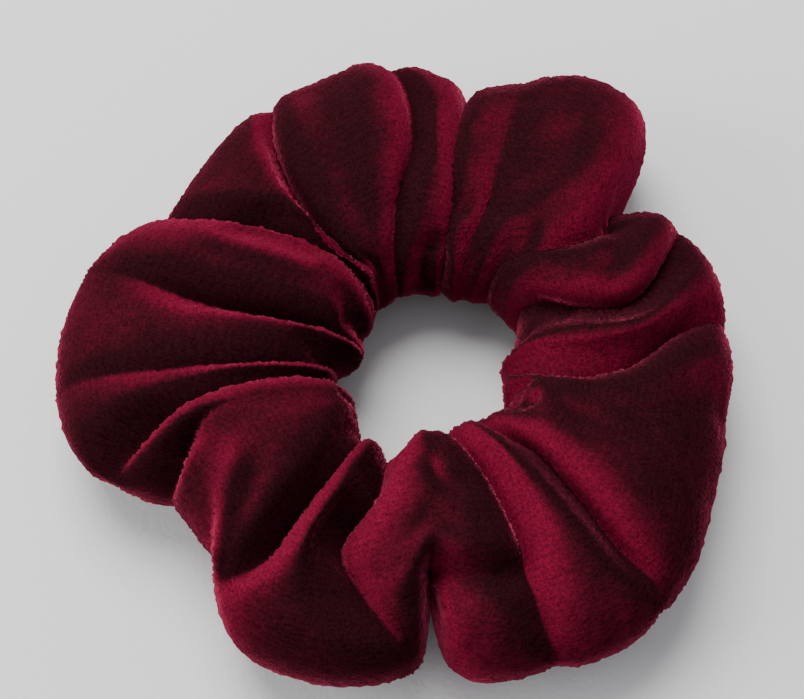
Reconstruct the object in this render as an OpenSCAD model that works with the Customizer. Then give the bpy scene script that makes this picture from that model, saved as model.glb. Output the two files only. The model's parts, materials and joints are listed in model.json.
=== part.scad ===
// A velvet scrunchie: a gathered fabric tube over a hidden loop of braided elastic.
// The velvet tube is split at its valleys into gathers, so that each gather can slide
// outward when the loop is pulled open. The origin is the middle of the underside.

/* [Cover] */
// Radius of the hair hole while the elastic is relaxed
hole_r = 13; // [12:0.5:14]
// Height of a middling gather
gather_h = 28; // [26:0.5:31]
// Factor on how far every gather stands out
puff = 1; // [0.94:0.01:1.08]
// How deep the soft underside settles flat on a table
settle = 1.2; // [0.6:0.2:2]
// Slit between two neighbouring gathers, measured at the hair hole
slit_w = 0.36; // [0.3:0.02:0.5]

/* [Elastic] */
// Radius of the relaxed elastic loop, to the middle of its thickness
elastic_r = 22; // [21.6:0.2:22.4]
// Width of the braided elastic
elastic_w = 6; // [5:0.5:7]
// Thickness of the braided elastic
elastic_t = 1; // [0.8:0.1:1.2]
// Number of rubber cores that lie side by side in the braid
core_count = 5; // [3:1:7]
// Diameter of one rubber core
core_d = 0.5; // [0.4:0.05:0.55]
// Length over which the two ends of the elastic lap
lap_len = 12; // [10:1:16]

/* [Seams] */
// Width of the seam allowance that is turned inside the tube
allowance_w = 7; // [5:0.5:8]
// Thickness of the two plies of velvet in the seam allowance
allowance_t = 1.4; // [1.2:0.1:1.8]
// Diameter of the sewing thread
thread_d = 0.3; // [0.2:0.05:0.4]
// Number of stitches that close the end of the tube
closing_count = 5; // [4:1:6]

/* [Hidden] */
$fn = 96;

velvet = "#7d1230";
velvet_inside = "#5a0d22";
thread_red = "#6b1029";
elastic_black = "#26201f";
rubber_tan = "#c9b48c";

// The hair hole's axis lies off the middle of the outline, because the gathers are uneven.
hole_x = 5.2;
hole_y = -3;

// Angles of the valleys between gathers, counter-clockwise from +X, in degrees.
valley = [-8, 36, 80, 123, 144, 190, 236, 266, 293, 313, 352];
// How far each gather stands out from the hair hole's axis.
reach = [54, 65.5, 62.3, 59, 64, 54, 58.5, 55.2, 57.8, 55];
// How much higher than a middling gather each one stands.
rise = [-1, 0.5, 1, -1, 0.5, -0.5, 1, 0, 0, 1];

// The hair hole's wall: a plain cylinder in the middle of the tube's height.
throat_len = 14;
throat_mid = 13;
// Radius at which the gathers' rounded inner side begins.
inner_r = hole_r + 1;
// The end of the tube is folded in and takes this much of the first valley.
slit_deg = slit_w / hole_r * 180 / PI;
tuck_deg = 3.6;
tuck_in = 33;
tuck_out = 43;
tuck_h = 6;
stitch_len = tuck_h + 0.6;
stitch_pitch = 1;

// The elastic's channel, and the slot that the seam allowance lies in.
channel_w = elastic_w + 3;
channel_in = elastic_r - elastic_t / 2 - 1;
channel_out = elastic_r + 3 * elastic_t / 2 + 1;
slot_out = channel_out + allowance_w + 1;
allowance_in = channel_out + 0.2;
clear = 0.4;

lap_gap = 0.05;
lap_deg = lap_len / elastic_r * 180 / PI;
lap_from = 1;
lap_rows = 2;
lap_columns = 6;

function start_deg(i) = valley[i] + slit_deg / 2 + (i == 0 ? tuck_deg + slit_deg : 0);
function end_deg(i) = valley[i + 1] - slit_deg / 2;
function stands_out(i) = reach[i] * puff;
function height(i) = gather_h + rise[i];
// A petal's end is a disc a little wider than the one that just touches both slits. It
// stops short of the tube's own rounding, which leaves a blunt tip.
petal_trim = 0.8;
function petal_r(i) =
    let (s = sin((end_deg(i) - start_deg(i)) / 2))
    1.3 * stands_out(i) * s / (1 + s);

// Moves the hair hole's axis to its place in the part.
module at_hole() {
    translate([hole_x, hole_y, 0]) children();
}

// Turns a 2D section about the hair hole, from one angle to another.
module sweep(from_deg, to_deg) {
    rotate([0, 0, from_deg]) rotate_extrude(angle = to_deg - from_deg) children();
}

// Section of a puffed tube that has settled on a table.
module tube_section(out, h) {
    intersection() {
        translate([0, -settle]) union() {
            translate([inner_r + h / 2, h / 2]) circle(d = h);
            translate([out - h / 2, h / 2]) circle(d = h);
            translate([inner_r + h / 2, 0]) square([out - inner_r - h, h]);
        }
        square([out + 1, h]);
    }
}

// Section of the plain band round the hair hole.
module throat_section() {
    translate([hole_r, throat_mid - throat_len / 2]) square([inner_r + 8 - hole_r, throat_len]);
}

// Section of the room that the elastic and the seam allowance take.
module channel_section() {
    translate([channel_in, throat_mid - channel_w / 2])
        square([channel_out - channel_in, channel_w]);
    translate([channel_out - clear, throat_mid - allowance_t / 2 - clear])
        square([slot_out - channel_out + clear, allowance_t + 2 * clear]);
}

// Plan outline that rounds a gather's outer end like a petal.
module petal_plan(i) {
    middle = stands_out(i) - petal_trim - petal_r(i);
    circle(r = middle);
    rotate((start_deg(i) + end_deg(i)) / 2) translate([middle, 0]) circle(r = petal_r(i));
}

// One puffed gather of the velvet tube, with the elastic's channel through it.
module gather(i) {
    color(velvet) at_hole() difference() {
        union() {
            intersection() {
                sweep(start_deg(i), end_deg(i)) tube_section(stands_out(i), height(i));
                linear_extrude(height(i) + 1) petal_plan(i);
            }
            sweep(start_deg(i), end_deg(i)) throat_section();
        }
        sweep(start_deg(i) - 1, end_deg(i) + 1) channel_section();
    }
}

// Section of the fold at the end of the tube, flattened outside the elastic.
module tuck_section() {
    translate([tuck_in + tuck_h / 2, throat_mid]) circle(d = tuck_h);
    translate([tuck_out - tuck_h / 2, throat_mid]) circle(d = tuck_h);
    translate([tuck_in + tuck_h / 2, throat_mid - tuck_h / 2])
        square([tuck_out - tuck_in - tuck_h, tuck_h]);
}

// The end of the velvet tube, folded in where the ring was closed.
module tucked_end() {
    color(velvet_inside) at_hole()
        sweep(valley[0] + slit_deg / 2, valley[0] + slit_deg / 2 + tuck_deg) tuck_section();
}

// Stitches through the fold that closes the ring.
module closing_stitches() {
    from_r = (tuck_in + tuck_out - (closing_count - 1) * stitch_pitch) / 2;
    color(thread_red) at_hole() rotate([0, 0, valley[0] + slit_deg / 2 + tuck_deg / 2])
        for (k = [0 : closing_count - 1])
            translate([from_r + k * stitch_pitch, 0, throat_mid])
                cylinder(d = thread_d, h = stitch_len, center = true);
}

// Raw edges of the lengthwise seam, turned inside the tube.
module seam_allowance() {
    color(velvet_inside) at_hole() rotate_extrude()
        translate([allowance_in, throat_mid - allowance_t / 2])
            square([allowance_w, allowance_t]);
}

// The lengthwise seam's two rows of thread.
module seam_thread() {
    color(thread_red) at_hole()
        for (r = [allowance_in + 1, allowance_in + 2.2])
            rotate_extrude() translate([r, throat_mid]) circle(d = thread_d);
}

// Knitted braid of the elastic.
module elastic_braid() {
    color(elastic_black) at_hole() rotate_extrude()
        translate([elastic_r - elastic_t / 2, throat_mid - elastic_w / 2])
            square([elastic_t, elastic_w]);
}

// Rubber cores that run inside the braid.
module rubber_cores() {
    pitch = elastic_w / (core_count + 1);
    color(rubber_tan) at_hole()
        for (k = [1 : core_count])
            translate([0, 0, throat_mid - elastic_w / 2 + k * pitch])
                rotate_extrude() translate([elastic_r, 0]) circle(d = core_d);
}

// The elastic's other end, lapped over the first on the outside of the loop.
module elastic_lap() {
    color(elastic_black) at_hole() sweep(lap_from, lap_from + lap_deg)
        translate([elastic_r + elastic_t / 2 + lap_gap, throat_mid - elastic_w / 2])
            square([elastic_t, elastic_w]);
}

// Stitches through both layers of the lapped elastic.
module lap_stitches() {
    long = 2 * elastic_t + lap_gap + 0.4;
    color(thread_red) at_hole()
        for (row = [0 : lap_rows - 1], k = [0 : lap_columns - 1])
            rotate([0, 0, lap_from + (k + 0.5) * lap_deg / lap_columns])
                translate([elastic_r - elastic_t / 2 - 0.2, 0,
                           throat_mid + (row - 0.5) * elastic_w / 2])
                    rotate([0, 90, 0]) cylinder(d = thread_d, h = long);
}

gather(0);  // gather_1
gather(1);  // gather_2
gather(2);  // gather_3
gather(3);  // gather_4
gather(4);  // gather_5
gather(5);  // gather_6
gather(6);  // gather_7
gather(7);  // gather_8
gather(8);  // gather_9
gather(9);  // gather_10
tucked_end();
closing_stitches();
seam_allowance();
seam_thread();
elastic_braid();
rubber_cores();
elastic_lap();
lap_stitches();
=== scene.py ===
"""A gathered velvet scrunchie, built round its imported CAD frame. Lengths here are in millimetres
until they reach Blender, which works in metres."""

import json
import math

import bmesh
import bpy
import numpy as np
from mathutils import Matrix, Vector


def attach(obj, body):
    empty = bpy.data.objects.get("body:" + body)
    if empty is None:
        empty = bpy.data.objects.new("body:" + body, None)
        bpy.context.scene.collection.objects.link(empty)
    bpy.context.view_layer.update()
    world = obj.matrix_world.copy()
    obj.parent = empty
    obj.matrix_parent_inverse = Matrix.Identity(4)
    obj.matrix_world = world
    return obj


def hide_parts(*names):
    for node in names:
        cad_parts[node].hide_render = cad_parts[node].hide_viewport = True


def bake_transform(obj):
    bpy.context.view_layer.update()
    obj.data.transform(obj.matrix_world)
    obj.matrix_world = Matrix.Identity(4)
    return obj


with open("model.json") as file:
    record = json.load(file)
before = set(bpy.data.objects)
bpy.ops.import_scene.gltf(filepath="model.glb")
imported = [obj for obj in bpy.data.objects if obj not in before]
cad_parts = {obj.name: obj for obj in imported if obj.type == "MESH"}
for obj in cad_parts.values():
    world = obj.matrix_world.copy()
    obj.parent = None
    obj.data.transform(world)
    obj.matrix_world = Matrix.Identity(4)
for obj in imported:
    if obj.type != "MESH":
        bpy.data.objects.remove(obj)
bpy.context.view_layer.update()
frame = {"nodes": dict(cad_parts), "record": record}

MM = 0.001

# ---------------------------------------------------------------- the ring and its folds

# The hair hole's axis, and the height of the elastic, from the mount.
HOLE = next(m for m in frame["record"]["mounts"] if m["name"] == "hair_hole")["pos_m"]
HOLE_X, HOLE_Y, MID_Z = (c / MM for c in HOLE)

# Directions in which the CAD's gathers slide outward, which is where the cover is parted.
CRESTS = (14, 58, 101.5, 133.5, 167, 213, 251, 279.5, 303, 332.5)

# Stations round the tube's section, in degrees: the hair hole, over the top, to the outside.
STATIONS = (180, 150, 120, 90, 60, 30, 0)

# Each gather rises from a crease to a crest and then falls to the next crease. "crease" and
# "crest" are the directions of those lines from the hole's axis at each station, in degrees.
# "deep" is how far the crease is drawn in, "wide" over how much cloth before and after it, and
# "lean" how far the gather before it laps over it (below zero: the gather after it), in mm.
# "high" is how high above the elastic the crest stands, in mm. "under" is the share of the depth
# that is left on the underside, and past the station "until" the crease fades out.
ALL_STATIONS = 999
FOLDS = (
    dict(crease=(-8, -13, -15.5, -10, 2, 7, 8), deep=(1.5, 3, 5, 7, 7, 3.5, 0.5), wide=(8, 8),
         lean=(0, 1, 2, 2.5, 2, 1, 0), crest=(6, 5, 3, 3, 10, 17, 20), high=12.5),
    dict(crease=(32, 28, 19, 15.3, 22, 27, 30), deep=(2, 3, 5.5, 6.5, 5.5, 2.5, 1), wide=(9, 4),
         lean=(0, -0.5, -1.5, -2, -1.5, -0.5, 0), crest=(40, 36, 25, 20, 27, 32, 35), high=13.5),
    dict(crease=(54, 50, 40, 35.5, 36, 39.5, 41), deep=(0, 0.3, 2, 4.5, 5, 6, 5), wide=(8, 9),
         lean=(0, 0, 0, 0, 0, 0, 0), crest=(62, 59, 56.5, 50.5, 56, 61, 63), high=14.5),
    dict(crease=(69, 68, 67, 69, 70, 71, 71), deep=(0.3, 1.2, 2.2, 2.5, 1.7, 0.6, 0), wide=(16, 6),
         lean=(0, 0, 0, 0, 0, 0, 0), crest=(74, 74, 74.5, 77.5, 77.5, 77.3, 77), high=13),
    dict(crease=(80, 78.5, 79, 82.5, 82, 81.3, 80.5), deep=(2, 3.5, 5, 7, 7.5, 7, 5), wide=(3.5, 3),
         lean=(0, 0, 0, -0.5, -0.5, 0, 0), crest=(83, 84, 85, 87.5, 87, 86.5, 86.5), high=14.5),
    dict(crease=(106, 106, 101, 94, 94, 95.5, 96.5), deep=(1, 3, 4.5, 5, 4.5, 3, 1), wide=(5, 5),
         lean=(0, -0.5, -1, -1.2, -1, 0, 0), crest=(114, 113, 109, 102, 101.5, 102, 103), high=15),
    dict(crease=(119, 121, 128, 126, 123, 119.5, 118), deep=(0, 0.5, 4, 7, 6, 3.5, 1.5),
         wide=(5, 3.5), lean=(0, 0, 1, 1.5, 1, 0.5, 0),
         crest=(122, 124, 130, 131, 130, 128, 127), high=12.5),
    dict(crease=(126, 127.5, 132.5, 141, 148.5, 149.5, 150), deep=(2, 4, 6, 6.5, 5.5, 4, 2.5),
         wide=(7, 6.5), lean=(0, -0.5, -1.2, -1.6, -1, -0.5, 0),
         crest=(133, 137, 143.5, 151, 158, 160, 160), high=14),
    dict(crease=(164, 167, 168.5, 169.3, 167.5, 166, 165), deep=(0.5, 2.5, 5, 5, 1.2, 0, 0),
         wide=(4.5, 4.5), lean=(0, 0, 0.5, 0.5, 0, 0, 0), crest=(172, 174, 175, 175.7, 173.5, 172, 171),
         high=14),
    dict(crease=(184, 188, 189.3, 188.4, 186.8, 186, 186), deep=(0.5, 1, 1.5, 1.6, 1.5, 0.3, 0),
         wide=(3, 3), lean=(0, 0, 0, 0, 0, 0, 0), crest=(187, 190.5, 191.3, 191, 192, 192, 191),
         high=13),
    dict(crease=(197, 197, 196, 196.5, 200, 201.5, 202), deep=(1.5, 3, 6, 7, 6.5, 3.5, 1), wide=(7, 3.5),
         lean=(0, -0.5, -1, -1.5, -1, -0.5, 0), crest=(202, 202, 200.5, 200.7, 203, 205, 206),
         high=13.5),
    dict(crease=(208, 208, 205, 202.5, 205.5, 209, 210), deep=(0, 0, 0, 0.5, 5, 4, 1.5),
         wide=(2.5, 3.5), lean=(0, 0, 0, 0, 0, 0, 0), crest=(213, 212, 208.5, 205.5, 210.5, 215, 217),
         high=13.5),
    dict(crease=(236, 238, 239, 238.2, 237, 233, 229), deep=(2, 2.5, 5.5, 9, 6, 0.8, 0),
         wide=(5.5, 3), lean=(0, -0.5, -1.2, -1.5, -1, 0, 0),
         crest=(241, 242.5, 243, 242.5, 242, 240, 237), high=14.5),
    dict(crease=(251, 253, 254, 250, 257.5, 265, 266), deep=(2, 4, 6.5, 8, 6, 0.6, 0), wide=(13, 10),
         lean=(0, -0.5, -1.2, -2, -1.2, 0, 0), crest=(262, 266, 269, 268.5, 267.5, 268.5, 269),
         high=14.5),
    dict(crease=(272, 273, 273.5, 272.8, 271, 271, 271), deep=(0, 0, 0, 8, 10, 15, 17),
         wide=(5, 3), lean=(0, 0, 0, 0, 0, 0, 0), crest=(277, 279, 280, 279, 275.5, 275, 275),
         high=13, under=1, until=67),
    dict(crease=(282, 286, 291, 292.5, 291, 291, 292), deep=(1.5, 2.5, 4.5, 5, 4.2, 2.4, 1),
         wide=(7, 8), lean=(0, 0.5, 1, 1, 0.5, 0, 0), crest=(294, 298, 302, 303, 303, 306, 308),
         high=14),
    dict(crease=(303, 308, 312.5, 312, 310.6, 311, 312), deep=(1.5, 3, 5.5, 6, 5, 0.8, 0),
         wide=(5, 5), lean=(0, 0, -0.8, -1.2, -0.8, 0, 0), crest=(314, 320, 321, 319.5, 318, 318, 319),
         high=14.5),
)

# The outline round the gathers, as (direction in degrees, mm from the hole's axis).
OUTLINE = ((0, 51.4), (20, 53), (27, 52.4), (33, 49.4), (39, 46.4), (43, 51), (48, 61.4), (54, 65.6),
           (62, 65), (70, 61), (76, 56), (82, 55.8), (87, 57.5), (93, 59.8), (101, 60.8), (110, 59),
           (120, 58.8), (130, 56.5), (141, 53), (150, 54.6), (160, 58), (170, 60.6), (182, 61.8),
           (192, 60.2), (200, 57.6), (207, 49.6), (214, 47.2), (224, 48), (229, 50.6), (236, 55.6),
           (244, 57.2), (254, 55.8), (262, 54.2), (267, 52.4), (271, 48), (275, 52),
           (279, 54.8), (290, 55.2), (305, 57.2), (320, 55.4), (335, 51.2), (350, 50.6))

# Radius of the hair hole, as (direction in degrees, mm).
HOLE_EDGE = ((0, 12.6), (12, 15.6), (24, 17.2), (42, 18), (60, 17.2), (74, 15.4), (90, 16.4),
             (105, 15), (120, 15.4), (130, 12.6), (146, 12.4), (158, 10.8), (170, 10.8), (180, 14.2),
             (190, 15.2), (210, 13.6), (230, 16.2), (246, 16.8), (255, 16.6), (264, 12.8),
             (285, 13), (300, 12.4), (318, 14.8), (336, 15), (348, 12.4))

# Smaller folds on the gathers: height in mm (below zero: a dent), half-width in mm on the
# line's left and on its right, and the line as (station, direction) in degrees.
STROKES = (
    (-2.2, 0.9, 1.6, ((95, 23.5), (84, 27.5), (72, 32), (62, 35))),
    (-1.3, 1.2, 1.2, ((145, 24), (135, 19), (125, 17))),
    (-3.4, 1.1, 1.1, ((113, 142), (104, 144.8), (92, 147.6), (82, 150))),
    (1.8, 1.3, 1.5, ((114, 145), (104, 148), (92, 150.8), (80, 153))),
    (-1.1, 1.1, 1.4, ((118, 271.5), (110, 273.5), (107, 277), (110, 281))),
    (1.6, 1.5, 1.5, ((66, 268), (76, 270), (80, 275), (81, 281), (79, 286))),
    (-3.4, 2.0, 2.0, ((62, 274), (69, 277), (72, 282), (70, 287))),
    (1.7, 1.6, 1.8, ((70, 219), (57, 222.5), (45, 226.5), (32, 229))),
    (-1.2, 2.5, 2.5, ((108, 233), (84, 234), (64, 234))),
    (-2.0, 3.5, 3.5, ((104, 250), (125, 250))),
    (-1.5, 2.5, 2.5, ((76, 57), (66, 60), (58, 62))),
    (-1.3, 4.5, 0.7, ((118, 57.5), (107, 54.3), (99, 52.6), (91, 51.8), (86, 52.4))),
    (0.8, 2.5, 2.5, ((125, 66), (108, 68), (96, 72))),
    (-1.5, 0.9, 0.9, ((141, 327), (136, 329))),
    (-1.4, 0.9, 0.9, ((148, 88), (142, 86.5))),
    (-1.3, 4.0, 4.0, ((110, 114), (50, 111))),
    (1.0, 4.0, 4.0, ((70, 158), (30, 164))),
    (-0.7, 4.0, 4.0, ((100, 335), (40, 341))),
    (0.6, 4.0, 4.0, ((60, 334), (25, 344))),
    (-1.5, 0.9, 0.9, ((180, 8), (152, 8))),
    (-1.5, 0.9, 0.9, ((180, 337), (152, 337))),
    (-1.5, 0.9, 0.9, ((180, 327), (152, 327))),
    (-1.5, 0.9, 0.9, ((180, 258), (148, 259))),
    (-1.5, 0.9, 0.9, ((180, 91), (150, 91))),
    (-1.5, 0.9, 0.9, ((180, 151), (150, 157))),
)

# The cover's mesh and shape.
SPACING = 0.45  # mm between columns of the mesh, about halfway out
SECTION_ROWS = 264  # rows of the mesh round the tube's section
SECTION_ARC = 0.314  # mm round the section for each degree
SQUARENESS = 2.2  # exponent of the section: 2 is an ellipse
UNDER_SHARE = 0.45  # share of the creases' depth that is left on the underside
LOWEST = 0.05  # mm above the floor
ROUNDING = 6  # passes of smoothing
# Random steps of the surface, in mm, that suggest the pile.
PILE_ROUGHNESS = 0.17

# The cloth simulation.
SIM_COLUMNS, SIM_ROWS = 300, 96  # the coarser mesh that the simulation moves
SIM_SCALE = 10  # it runs at ten times the real size
SIM_FRAMES = 14
SIM_SPARE = 0.03  # how much bigger the cloth is than its first shape
SIM_PRESSURE = 2.0
SIM_CAP = 4.0  # most that the simulation may move a point, in mm

# The elastic and the seams, in mm from the hole's axis and in degrees round it.
ELASTIC_R, ELASTIC_WIDE, ELASTIC_THICK = 22, 6, 1
CORE_COUNT, CORE_WIDE = 5, 0.5
ALLOWANCE_R, ALLOWANCE_WIDE, PLY_THICK = 28.2, 7, 0.62
SEAM_ROWS = (25.7, 26.9)
THREAD_WIDE = 0.3
STITCH_DEGREES = 5.5
LAP = (0.5, 33)
TUCK = (-7.2, -3.6)
TUCK_R = 38


def around(values, stations):
    """Values at the stations, smoothly carried to any angle round the section."""
    a = np.abs((np.asarray(stations, float) + 180) % 360 - 180)
    knots = np.array(STATIONS[::-1], float)
    v = np.array(values[::-1], float)
    # a cubic through the stations, level at the hole and at the outside
    slope = np.gradient(v, knots)
    slope[0] = slope[-1] = 0
    k = np.clip(np.searchsorted(knots, a, side="right") - 1, 0, len(knots) - 2)
    h = knots[k + 1] - knots[k]
    t = (a - knots[k]) / h
    return ((2 * t**3 - 3 * t**2 + 1) * v[k] + (t**3 - 2 * t**2 + t) * h * slope[k]
            + (-2 * t**3 + 3 * t**2) * v[k + 1] + (t**3 - t**2) * h * slope[k + 1])


def along(pairs, directions, soften):
    """A value given at a few directions, smoothly carried to any direction."""
    at = np.array([p[0] for p in pairs], float) % 360
    v = np.array([p[1] for p in pairs], float)
    order = np.argsort(at)
    at, v = at[order], v[order]
    ring = np.arange(720) / 2
    table = np.interp(ring, np.concatenate([at - 360, at, at + 360]), np.tile(v, 3))
    reach = np.arange(-60, 61) / 2
    kernel = np.exp(-0.5 * (reach / soften) ** 2)
    kernel /= kernel.sum()
    padded = np.concatenate([table[-60:], table, table[:60]])
    smooth = np.convolve(padded, kernel, "valid")
    return np.interp(np.asarray(directions) % 360, np.append(ring, 360), np.append(smooth, smooth[0]))


def ripple(directions, stations, waves, seed):
    """A smooth pattern round the ring and the section, about -1 to 1, from a few sine waves."""
    pick = np.random.default_rng(seed)
    total = np.zeros(np.broadcast(directions, stations).shape)
    for low, high, rows in waves:
        for _ in range(5):
            m, n = pick.integers(low, high + 1), pick.integers(-rows, rows + 1)
            phase = pick.uniform(0, 2 * math.pi)
            total += np.sin(np.radians(m * directions + n * stations) + phase)
    return total / (2.2 * len(waves))


def fold_grid():
    """Directions, drawn-in depths and leans of the cover's whole mesh: columns run along the
    folds and rows round the section."""
    stations = np.arange(SECTION_ROWS) * 360 / SECTION_ROWS - 180
    under = np.clip(np.sin(np.radians(-stations)), 0, 1) ** 0.7
    radius = 37 + 21 * np.cos(np.radians(stations))  # roughly, from the hole's axis
    columns, depths, leans = [], [], []
    for k, fold in enumerate(FOLDS):
        after = FOLDS[(k + 1) % len(FOLDS)]
        turn = 360 if k == len(FOLDS) - 1 else 0
        here = around(fold["crease"], stations)
        top = around(fold["crest"], stations)
        there = around(after["crease"], stations) + turn
        for start, end, crease, rising in ((here, top, fold, True), (top, there, after, False)):
            across = np.abs(end - start) * math.pi / 180 * radius
            count = max(8, round(across.mean() / SPACING))
            u = np.arange(count) / count
            # columns crowd towards the crease
            share = u**1.35 if rising else 1 - (1 - u) ** 1.35
            gap = (share if rising else 1 - share)[:, None]
            wide = np.minimum(across, crease["wide"][1 if rising else 0])
            near = np.minimum(gap * across / np.maximum(wide, 0.01), 1)
            rise = 0.75 * (1 - (1 - near) ** 2) + 0.25 * np.sqrt(1 - (1 - near) ** 2)
            keep = 1 - (1 - crease.get("under", UNDER_SHARE)) * under
            fade = np.clip((crease.get("until", ALL_STATIONS) + 6 - stations) / 12, 0, 1)
            deep = around(crease["deep"], stations) * keep * fade**2 * (3 - 2 * fade)
            lean = around(crease["lean"], stations) * keep
            columns.append(start[None] + share[:, None] * (end - start)[None])
            depths.append((1 - rise) * deep[None])
            leans.append(6.75 * near * (1 - near) ** 2 * lean[None])
    return stations, np.vstack(columns), np.vstack(depths), np.vstack(leans)


def stroke_heights(directions, stations, reach):
    """How far the smaller folds lift the surface."""
    total = np.zeros_like(directions)
    for height, left, right, line in STROKES:
        line = np.array(line, float)
        nearest = np.full(directions.shape, 1e9)
        width = np.full(directions.shape, left)
        for (s0, d0), (s1, d1) in zip(line[:-1], line[1:]):
            r = reach * math.pi / 180
            x = ((directions - d0 + 180) % 360 - 180) * r
            y = (stations - s0) * SECTION_ARC + 0 * x
            ex, ey = (d1 - d0) * r, (s1 - s0) * SECTION_ARC
            t = np.clip((x * ex + y * ey) / (ex * ex + ey * ey), 0, 1)
            d = np.hypot(x - t * ex, y - t * ey)
            side = np.where(ex * y - ey * x > 0, left, right)
            width = np.where(d < nearest, side, width)
            nearest = np.minimum(nearest, d)
        total += height * np.exp(-0.5 * (nearest / width) ** 2)
    return total


def cover_surface():
    """Vertices of the whole cover, in mm, as columns by rows by xyz."""
    stations, turn, deep, lean = fold_grid()
    s = np.broadcast_to(stations, turn.shape)
    outside = along(OUTLINE, turn, 2)
    inside = along(HOLE_EDGE, turn, 3)
    high = along([(f["crest"][3], f["high"]) for f in FOLDS], turn, 6)
    low = np.full(turn.shape, MID_Z - 0.4)
    middle, half = (outside + inside) / 2, (outside - inside) / 2
    c, v = np.cos(np.radians(s)), np.sin(np.radians(s))
    tall = np.where(v > 0, high, low)
    power = 2 / SQUARENESS
    cc, vv = np.sign(c) * np.abs(c) ** power, np.sign(v) * np.abs(v) ** power
    across, up = half * cc, tall * vv
    # outward normal of the section
    na, nu = c / half, v / tall
    size = np.hypot(na, nu)
    na, nu = na / size, nu / size
    push = -deep + stroke_heights(turn, s, middle + across)
    push += 0.3 * ripple(turn, s, ((7, 13, 3), (14, 24, 5)), 3)
    near_hole = np.clip((np.abs(s) - 125) / 40, 0, 1)
    push += 0.3 * near_hole * ripple(turn, s, ((26, 36, 2), (37, 48, 3)), 5)
    across, up = across + push * na, up + push * nu
    r = middle + across
    a = np.radians(turn)
    x = HOLE_X + r * np.cos(a) - lean * np.sin(a)
    y = HOLE_Y + r * np.sin(a) + lean * np.cos(a)
    z = MID_Z + up
    # the soft underside settles flat
    rest, soft = 0.35, 1.2
    z = np.where(z < 4, rest + soft * np.log1p(np.exp((z - rest) / soft)), z)
    return np.stack([x, y, z], -1)


# ---------------------------------------------------------------- materials


def shader(name):
    """A new material: (material, its nodes' maker, its Principled shader)."""
    m = bpy.data.materials.new(name)
    m.use_nodes = True
    tree = m.node_tree
    bsdf = next(n for n in tree.nodes if n.type == "BSDF_PRINCIPLED")

    def add(kind, inputs=(), **settings):
        n = tree.nodes.new(kind)
        for key, value in settings.items():
            setattr(n, key, value)
        for key, value in dict(inputs).items():
            if isinstance(value, bpy.types.NodeSocket):
                tree.links.new(value, n.inputs[key])
            else:
                n.inputs[key].default_value = value
        return n

    add.link = tree.links.new
    return m, add, bsdf


def velvet():
    """Crimson knitted velvet. Its pile leans one way round the ring, and its base colour carries painted
    sheen and painted shade for it: slopes that face the way the pile leans are painted bright, slopes
    that face the other way are painted dark.
    """
    m, add, bsdf = shader("crimson_velvet")
    place = add("ShaderNodeTexCoord")
    pile = add("ShaderNodeTexNoise", {"Vector": place.outputs["Object"], "Scale": 2200.0,
                                      "Detail": 3.0, "Roughness": 0.65})
    tufts = add("ShaderNodeTexNoise", {"Vector": place.outputs["Object"], "Scale": 700.0,
                                       "Detail": 2.0, "Roughness": 0.5})
    # random patches in the painted sheen and painted shade
    painted_sheen_mask = add("ShaderNodeTexNoise", {"Vector": place.outputs["Object"], "Scale": 110.0,
                                     "Detail": 3.0, "Roughness": 0.55})
    # the mask of painted sheen and shade made in wedge(): high on slopes that face the way the pile
    # leans
    lean = add("ShaderNodeAttribute", attribute_name="painted_sheen_mask")
    mixed = add("ShaderNodeMath", {0: painted_sheen_mask.outputs["Fac"], 1: 0.45, 2: lean.outputs["Fac"]},
                operation="MULTIPLY_ADD")
    # the tufts add random tone to the painted sheen and shade mask
    sheen_mask_with_tufts = add("ShaderNodeMath", {0: tufts.outputs["Fac"], 1: 0.25, 2: mixed.outputs["Value"]},
                  operation="MULTIPLY_ADD")
    ramp = add("ShaderNodeMapRange", {"Value": sheen_mask_with_tufts.outputs["Value"], "From Min": 0.07,
                                      "From Max": 1.15}, interpolation_type="SMOOTHSTEP")
    # the base colour runs from painted shade (the first colour, dark) to painted sheen (the second
    # colour, bright)
    shade = add("ShaderNodeMix", {"Factor": ramp.outputs["Result"]}, data_type="RGBA")
    shade.inputs[6].default_value = (0.019, 0.0036, 0.0054, 1)
    shade.inputs[7].default_value = (0.135, 0.005, 0.021, 1)
    # knitted ribs, about a millimetre apart
    across = add("ShaderNodeAttribute", attribute_name="across")
    wave = add("ShaderNodeMath", {0: across.outputs["Fac"], 1: 6.0}, operation="MULTIPLY")
    wobble = add("ShaderNodeMath", {0: tufts.outputs["Fac"], 1: 3.0, 2: wave.outputs["Value"]},
                 operation="MULTIPLY_ADD")
    rib = add("ShaderNodeMath", {0: wobble.outputs["Value"]}, operation="SINE")
    fleck = add("ShaderNodeMapRange", {"Value": pile.outputs["Fac"], "From Min": 0.3,
                                       "From Max": 0.7, "To Min": 0.55, "To Max": 1.45})
    worn = add("ShaderNodeMath", {0: rib.outputs["Value"], 1: 0.06, 2: fleck.outputs["Result"]},
               operation="MULTIPLY_ADD")
    tint = add("ShaderNodeVectorMath", {0: shade.outputs[2], 1: worn.outputs["Value"]},
               operation="MULTIPLY")
    add.link(tint.outputs["Vector"], bsdf.inputs["Base Color"])
    height = add("ShaderNodeMath", {0: tufts.outputs["Fac"], 1: 0.6, 2: pile.outputs["Fac"]},
                 operation="MULTIPLY_ADD")
    bump = add("ShaderNodeBump", {"Height": height.outputs["Value"], "Strength": 0.35,
                                  "Distance": 0.0005})
    add.link(bump.outputs["Normal"], bsdf.inputs["Normal"])
    bsdf.inputs["Roughness"].default_value = 0.9
    bsdf.inputs["Specular IOR Level"].default_value = 0.0
    bsdf.inputs["Sheen Weight"].default_value = 0.55
    bsdf.inputs["Sheen Roughness"].default_value = 0.3
    bsdf.inputs["Sheen Tint"].default_value = (1, 0.1, 0.23, 1)
    return m


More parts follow.
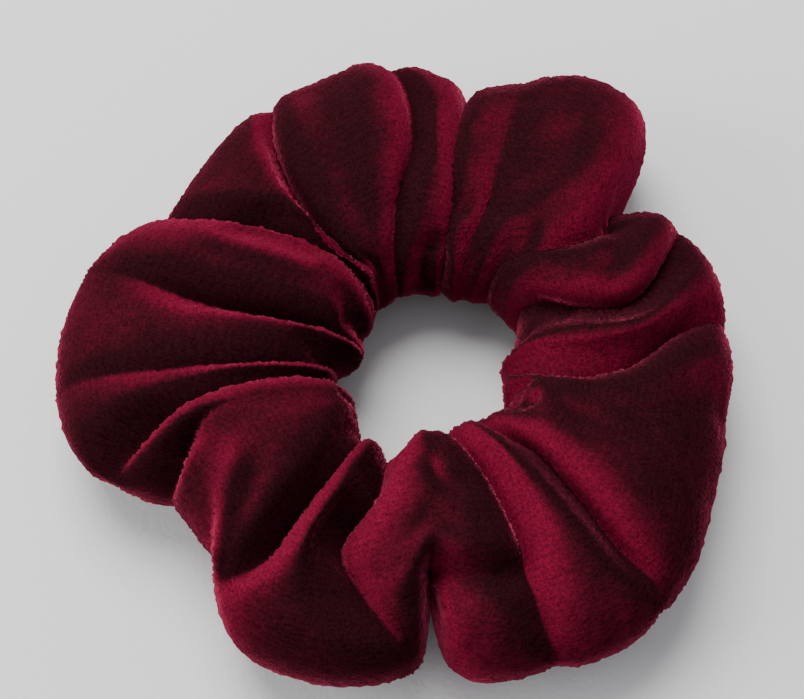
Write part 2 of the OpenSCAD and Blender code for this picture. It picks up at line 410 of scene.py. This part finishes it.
def yarn(name, colour, roughness, ribs, strength=0.5):
    """Thread, knit or braid: ridges wound on a slant, with uneven colour."""
    m, add, bsdf = shader(name)
    place = add("ShaderNodeTexCoord")
    turned = add("ShaderNodeMapping", {"Vector": place.outputs["Object"],
                                       "Rotation": (0.6, 0.5, 0.8)})
    wound = add("ShaderNodeTexWave", {"Vector": turned.outputs["Vector"], "Scale": ribs,
                                      "Distortion": 1.5, "Detail": 1.0})
    uneven = add("ShaderNodeTexNoise", {"Vector": place.outputs["Object"], "Scale": 300.0,
                                        "Detail": 3.0})
    low, high = (tuple(c * k for c in colour) for k in (0.6, 1.3))
    shade = add("ShaderNodeMix", {"Factor": uneven.outputs["Fac"]}, data_type="RGBA")
    shade.inputs[6].default_value = (*low, 1)
    shade.inputs[7].default_value = (*high, 1)
    add.link(shade.outputs[2], bsdf.inputs["Base Color"])
    bump = add("ShaderNodeBump", {"Height": wound.outputs["Fac"], "Strength": strength,
                                  "Distance": 0.0002})
    add.link(bump.outputs["Normal"], bsdf.inputs["Normal"])
    bsdf.inputs["Roughness"].default_value = roughness
    return m


def plain(name, colour, roughness):
    """A simple floor material with a fine grain."""
    m, add, bsdf = shader(name)
    place = add("ShaderNodeTexCoord")
    grain = add("ShaderNodeTexNoise", {"Vector": place.outputs["Object"], "Scale": 900.0})
    bump = add("ShaderNodeBump", {"Height": grain.outputs["Fac"], "Strength": 0.3,
                                  "Distance": 0.0003})
    add.link(bump.outputs["Normal"], bsdf.inputs["Normal"])
    bsdf.inputs["Base Color"].default_value = (*colour, 1)
    bsdf.inputs["Roughness"].default_value = roughness
    return m


# ---------------------------------------------------------------- building the pieces


def ring_quads(columns, rows):
    """The faces of a closed ring of columns by rows."""
    index = np.arange(columns * rows).reshape(columns, rows)
    return np.stack([index, np.roll(index, -1, 0), np.roll(np.roll(index, -1, 0), -1, 1),
                     np.roll(index, -1, 1)], -1).reshape(-1, 4)


def resampled(grid, columns, rows):
    """A closed ring's grid carried smoothly to another number of columns and rows."""
    for axis, count in ((0, columns), (1, rows)):
        size = grid.shape[axis]
        where = np.arange(count) * size / count
        k = where.astype(int)
        t = (where - k).reshape((-1,) + (1,) * (2 - axis))
        p = [np.take(grid, (k + j) % size, axis) for j in (-1, 0, 1, 2)]
        grid = (p[1] + 0.5 * t * (p[2] - p[0] + t * (2 * p[0] - 5 * p[1] + 4 * p[2] - p[3]
                + t * (3 * (p[1] - p[2]) + p[3] - p[0]))))
    return grid


def settle(grid):
    """Lets the cloth swell and wrinkle a little in a simulation, and returns the new grid."""
    columns, rows = SIM_COLUMNS, SIM_ROWS
    coarse = resampled(grid, columns, rows)
    mesh = bpy.data.meshes.new("settling")
    at = coarse.reshape(-1, 3) * MM * SIM_SCALE
    mesh.from_pydata(at.tolist(), [], ring_quads(columns, rows).tolist())
    cloth = bpy.data.objects.new("settling", mesh)
    bpy.context.scene.collection.objects.link(cloth)
    stations = np.arange(rows) * 360 / rows - 180
    # the elastic holds the cloth near the hole, and its own weight holds the underside
    held = np.clip((np.abs(stations) - 150) / 25, 0, 1) * 0.6 + 0.12
    held = np.maximum(held, np.where(stations < -20, 0.8, 0))
    group = cloth.vertex_groups.new(name="held")
    for row in range(rows):
        group.add(list(range(row, columns * rows, rows)), float(min(held[row], 1)), "REPLACE")
    sim = cloth.modifiers.new("cloth", "CLOTH")
    sim.settings.quality = 6
    sim.settings.mass = 0.1
    sim.settings.tension_stiffness = 15
    sim.settings.compression_stiffness = 15
    sim.settings.shear_stiffness = 3
    sim.settings.bending_stiffness = 6
    sim.settings.shrink_min = -SIM_SPARE
    sim.settings.vertex_group_mass = "held"
    sim.settings.pin_stiffness = 2
    sim.settings.use_pressure = True
    sim.settings.uniform_pressure_force = SIM_PRESSURE
    sim.settings.effector_weights.gravity = 0
    sim.collision_settings.use_collision = False
    sim.collision_settings.use_self_collision = False
    scene = bpy.context.scene
    for frame_number in range(1, SIM_FRAMES + 1):
        scene.frame_set(frame_number)
    shaped = cloth.evaluated_get(bpy.context.evaluated_depsgraph_get()).to_mesh()
    co = np.zeros(columns * rows * 3)
    shaped.vertices.foreach_get("co", co)
    moved = co.reshape(columns, rows, 3) / MM / SIM_SCALE - coarse
    bpy.data.objects.remove(cloth)
    scene.frame_set(1)
    size = np.linalg.norm(moved, axis=-1, keepdims=True)
    moved *= np.minimum(1, SIM_CAP / (size + 1e-9))
    return grid + resampled(moved, *grid.shape[:2])


def rounded(grid):
    """Rounds the folds off by about the velvet's own thickness."""
    for _ in range(ROUNDING):
        for axis in (0, 1):
            grid = (2 * grid + np.roll(grid, 1, axis) + np.roll(grid, -1, axis)) / 4
    return grid


def whole_cover():
    """Vertices (mm), normals, quads and the number of rows of the whole ring."""
    grid = cover_surface()
    grid = settle(grid)
    grid = rounded(grid)
    # the lower half is brought down to the floor, all but the pile's height
    grid[..., 2] -= (grid[..., 2].min() - 0.2) * np.clip(1 - grid[..., 2] / MID_Z, 0, 1)
    vertices = grid.reshape(-1, 3)
    quads = ring_quads(*grid.shape[:2])
    a, b, c, d = (vertices[quads[:, k]] for k in range(4))
    face = np.cross(c - a, d - b)
    normals = np.zeros_like(vertices)
    for k in range(4):
        np.add.at(normals, quads[:, k], face)
    normals /= np.linalg.norm(normals, axis=1, keepdims=True) + 1e-12
    # the pile's ragged edge: the surface is rough, and its shading stays smooth
    tufts = np.random.default_rng(11).normal(0, 1, len(vertices)).clip(-1.5, 2.5)
    vertices = vertices + (PILE_ROUGHNESS * tufts)[:, None] * normals
    vertices[:, 2] = np.maximum(vertices[:, 2], LOWEST)
    return vertices, normals, quads, grid.shape[1]


def outward(direction):
    """The unit vector that points away from the hole's axis."""
    a = math.radians(direction)
    return np.array([math.cos(a), math.sin(a), 0])


def wedge(name, vertices, normals, quads, rows, start, end):
    """The part of a ring's mesh between two directions, as an object."""
    axis = np.array([HOLE_X, HOLE_Y, 0])
    v = vertices - axis
    turn = np.degrees(np.arctan2(v[:, 1], v[:, 0]))
    near = ((turn - (start - 3)) % 360) < (end - start + 6)
    chosen = quads[near[quads].all(1)]
    used, flat = np.unique(chosen, return_inverse=True)
    mesh = bpy.data.meshes.new(name)
    mesh.from_pydata((vertices[used] * MM).tolist(), [], flat.reshape(-1, 4).tolist())
    layer = mesh.attributes.new("ring_normal", "FLOAT_VECTOR", "POINT")
    layer.data.foreach_set("vector", normals[used].astype(np.float32).ravel())
    # how far the surface turns to the side that the pile leans to: where it does, the velvet's base
    # colour is painted bright (painted sheen), and where it turns away, dark (painted shade)
    back = np.stack([v[used, 1], -v[used, 0]], -1)
    back /= np.linalg.norm(back, axis=1, keepdims=True)
    painted_sheen_mask = (normals[used, :2] * back).sum(1)
    mesh.attributes.new("painted_sheen_mask", "FLOAT", "POINT").data.foreach_set("value", painted_sheen_mask.astype(np.float32))
    station = np.abs((used % rows) * 360 / rows - 180)
    across = (station * SECTION_ARC).astype(np.float32)
    mesh.attributes.new("across", "FLOAT", "POINT").data.foreach_set("value", across)
    bm = bmesh.new()
    bm.from_mesh(mesh)
    for direction, side in ((start, 1), (end, -1)):
        o = outward(direction)
        across = Vector((-o[1], o[0], 0)) * side
        bmesh.ops.bisect_plane(bm, geom=bm.verts[:] + bm.edges[:] + bm.faces[:], dist=1e-8,
                               plane_co=Vector(axis * MM), plane_no=across, clear_inner=True)
    bm.to_mesh(mesh)
    bm.free()
    shaped = np.zeros(len(mesh.vertices) * 3, np.float32)
    mesh.attributes["ring_normal"].data.foreach_get("vector", shaped)
    shaped = shaped.reshape(-1, 3)
    shaped /= np.linalg.norm(shaped, axis=1, keepdims=True) + 1e-12
    mesh.attributes.remove(mesh.attributes["ring_normal"])
    mesh.polygons.foreach_set("use_smooth", np.ones(len(mesh.polygons), bool))
    mesh.normals_split_custom_set_from_vertices(shaped.tolist())
    piece = bpy.data.objects.new(name, mesh)
    bpy.context.scene.collection.objects.link(piece)
    return piece


def pair(k):
    """Gather k's crest and the next, and the bodies that they belong to."""
    start, end = CRESTS[k], CRESTS[(k + 1) % 10] + (360 if k == 9 else 0)
    return start, end, f"gather_{k + 1}", f"gather_{k + 2}" if k < 9 else "closing_end"


def stretch_between(piece, k, first=None, last=None):
    """Bakes the piece's transform into its mesh and returns the piece; the span from gather k to the
    next, between the directions first and last, is worked out but not used."""
    start, end, body, after = pair(k)
    first = start if first is None else first
    last = end if last is None else last
    co = np.zeros(len(piece.data.vertices) * 3)
    piece.data.vertices.foreach_get("co", co)
    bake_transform(piece)
    return piece


def new_piece(name, vertices, faces, material, slot):
    """A smooth object from vertices in mm."""
    mesh = bpy.data.meshes.new(name)
    mesh.from_pydata([tuple(c * MM for c in v) for v in vertices], [], faces)
    mesh.polygons.foreach_set("use_smooth", np.ones(len(mesh.polygons), bool))
    mesh.materials.append(material)
    piece = bpy.data.objects.new(name, mesh)
    bpy.context.scene.collection.objects.link(piece)
    return piece


def swept(sections, directions):
    """Vertices and faces of closed sections, as (radius, height) in mm, carried round the hole's
    axis. The ends are closed."""
    vertices, faces = [], []
    for section in sections:
        base, n = len(vertices), len(section)
        for d in directions:
            out = outward(d)
            vertices += [(HOLE_X + r * out[0], HOLE_Y + r * out[1], z) for r, z in section]
        for i in range(len(directions) - 1):
            for j in range(n):
                a, b = base + i * n + j, base + i * n + (j + 1) % n
                faces.append((a, b, b + n, a + n))
        last = base + (len(directions) - 1) * n
        faces.append(tuple(range(base + n - 1, base - 1, -1)))
        faces.append(tuple(range(last, last + n)))
    return vertices, faces


def slab(middle, thick, wide, low=MID_Z, ridges=0):
    """A flat section with rounded edges, with ridges where cores lie under its surface."""
    points = []
    for a in np.radians(np.arange(0, 360, 7.5)):
        c, v = math.cos(a), math.sin(a)
        height = wide / 2 * math.copysign(abs(v) ** 0.75, v)
        full = 1 - 0.18 * abs(math.sin(math.pi * ridges * (height / wide + 0.5))) if ridges else 1
        points.append((middle + full * thick / 2 * math.copysign(abs(c) ** 0.3, c), low + height))
    return points


def round_section(middle, height, width):
    """A round section, such as a thread's or a core's."""
    return [(middle + width / 2 * math.cos(a), height + width / 2 * math.sin(a))
            for a in np.radians(np.arange(0, 360, 36))]


def stitch_sections(start, end):
    """Directions between which the seam's single stitches run."""
    count = round((end - start) / STITCH_DEGREES)
    edges = np.linspace(start, end, count + 1)
    return [(a + 0.12 * (b - a), b - 0.12 * (b - a)) for a, b in zip(edges[:-1], edges[1:])]


def build_inside(k, materials):
    """The elastic and the seam inside the cover, between gather k and the next."""
    start, end, *_ = pair(k)
    directions = np.linspace(start, end, round((end - start) / 1.5) + 1)
    first = LAP[1] if k == 0 else None
    last = LAP[0] + 360 if k == 9 else None
    band = slab(ELASTIC_R, ELASTIC_THICK, ELASTIC_WIDE, ridges=CORE_COUNT + 1)
    braid = new_piece(f"elastic_braid_{k + 1}", *swept([band], directions),
                      materials["elastic_jacket"], "elastic_jacket")
    pitch = ELASTIC_WIDE / (CORE_COUNT + 1)
    cores = [round_section(ELASTIC_R, MID_Z - ELASTIC_WIDE / 2 + j * pitch, CORE_WIDE)
             for j in range(1, CORE_COUNT + 1)]
    rubber = new_piece(f"rubber_cores_{k + 1}", *swept(cores, directions),
                       materials["rubber"], "rubber")
    # two raw-edged plies, held together by the seam
    plies = [slab(ALLOWANCE_R - 0.15 * side, ALLOWANCE_WIDE - 0.3 * side, PLY_THICK,
                  MID_Z - 0.35 + 0.7 * side) for side in (0, 1)]
    allowance = new_piece(f"seam_allowance_{k + 1}", *swept(plies, directions),
                          materials["velvet_back"], "velvet_back")
    vertices, faces = [], []
    for row in SEAM_ROWS:
        for a, b in stitch_sections(start, end):
            v, f = swept([round_section(row, MID_Z + 0.68, THREAD_WIDE)], np.linspace(a, b, 4))
            faces += [tuple(i + len(vertices) for i in face) for face in f]
            vertices += v
    seam = new_piece(f"seam_thread_{k + 1}", vertices, faces, materials["thread"], "thread")
    for piece in (braid, rubber):
        stretch_between(piece, k, first, last)
    for piece in (allowance, seam):
        stretch_between(piece, k)
    for piece, node in ((braid, "elastic_braid"), (rubber, "rubber_cores"),
                        (allowance, "seam_allowance"), (seam, "seam_thread")):
        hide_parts(node)
    return [allowance, seam]


def build_tuck(materials):
    """The tube's end, folded in and flattened where the ring was closed."""
    loop = []
    for a in np.radians(np.arange(0, 360, 10)):
        c, v = math.cos(a), math.sin(a)
        loop.append((TUCK_R + (2 if c > 0 else -2) + 2.9 * c, MID_Z + 2.9 * v))
    inner = [(TUCK_R + (r - TUCK_R) * 0.72, MID_Z + (z - MID_Z) * 0.6) for r, z in loop]
    directions = np.linspace(TUCK[0], TUCK[1], 4)
    n, vertices, faces = len(loop), [], []
    for d in directions:
        out = outward(d)
        for r, z in loop + inner:
            vertices.append((HOLE_X + r * out[0], HOLE_Y + r * out[1], z))
    for j in range(n):
        q = (j + 1) % n
        for i in range(len(directions) - 1):
            a, b = i * 2 * n, (i + 1) * 2 * n
            faces.append((a + j, a + q, b + q, b + j))
            faces.append((b + n + j, b + n + q, a + n + q, a + n + j))
        last = (len(directions) - 1) * 2 * n
        faces.append((q, j, n + j, n + q))
        faces.append((last + j, last + q, last + n + q, last + n + j))
    piece = new_piece("tucked_fold", vertices, faces, materials["velvet"], "velvet")
    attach(piece, "closing_end")
    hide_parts("tucked_end")
    return piece


def build_cover(materials):
    """The velvet cover in ten pieces, each parted in the middle of a gather, and what is in it."""
    vertices, normals, quads, rows = whole_cover()
    tuck = build_tuck(materials)
    pieces = []
    for k in range(10):
        start, end, body, _ = pair(k)
        piece = wedge(f"velvet_cover_{k + 1}", vertices, normals, quads, rows, start, end)
        piece.data.materials.append(materials["velvet"])
        stretch_between(piece, k)
        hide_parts(body)
        pieces.append(piece)
    for k, piece in enumerate(pieces):
        inside = build_inside(k, materials) + ([tuck] if k == 9 else [])


# ---------------------------------------------------------------- stage


def camera():
    """The camera, at the photo's angle."""
    rise, away = math.radians(63), 0.290
    aim = Vector((0.0015, 0.0008, 0.013))
    eye = aim + away * Vector((0, -math.cos(rise), math.sin(rise)))
    data = bpy.data.cameras.new("camera")
    data.sensor_width, data.lens = 36, 76
    data.clip_start, data.clip_end = 0.01, 10
    o = bpy.data.objects.new("camera", data)
    o.location = eye
    o.rotation_euler = (aim - eye).to_track_quat("-Z", "Y").to_euler()
    bpy.context.scene.collection.objects.link(o)
    bpy.context.scene.camera = o


def floor():
    """A pale floor to lie on."""
    bpy.ops.mesh.primitive_plane_add(size=3)
    o = bpy.context.object
    o.name = "floor"
    o.data.materials.append(plain("pale_floor", (0.78, 0.77, 0.75), 0.8))


def light(name, place, size, power, aim=(0, 0, 0.01)):
    """A soft round light that looks at the scrunchie."""
    data = bpy.data.lights.new(name, "AREA")
    data.shape, data.size, data.energy = "DISK", size, power
    o = bpy.data.objects.new(name, data)
    o.location = place
    o.rotation_euler = (Vector(aim) - Vector(place)).to_track_quat("-Z", "Y").to_euler()
    bpy.context.scene.collection.objects.link(o)


def studio():
    """Two soft lights and an even, slightly blue surround."""
    light("soft_top", (-0.15, 0.35, 0.75), 0.6, 9)
    light("soft_left", (-0.7, -0.1, 0.35), 0.5, 4)
    world = bpy.data.worlds.new("studio")
    bpy.context.scene.world = world
    world.use_nodes = True
    world.node_tree.nodes["Background"].inputs["Color"].default_value = (0.9, 0.92, 1, 1)
    world.node_tree.nodes["Background"].inputs["Strength"].default_value = 0.6


camera()
floor()
studio()
materials = {"velvet": velvet(),
             "velvet_back": yarn("velvet_back", (0.16, 0.01, 0.035), 0.9, 350),
             "thread": yarn("sewing_thread", (0.2, 0.01, 0.04), 0.55, 900),
             "elastic_jacket": yarn("elastic_braid", (0.03, 0.026, 0.026), 0.8, 300, 0.8),
             "rubber": yarn("rubber", (0.55, 0.46, 0.3), 0.6, 60, 0.1)}
build_cover(materials)
for name, slot in (("elastic_lap", "elastic_jacket"), ("lap_stitches", "thread"),
                   ("closing_stitches", "thread")):
    mesh = frame["nodes"][name].data
    mesh.materials.clear()
    mesh.materials.append(materials[slot])
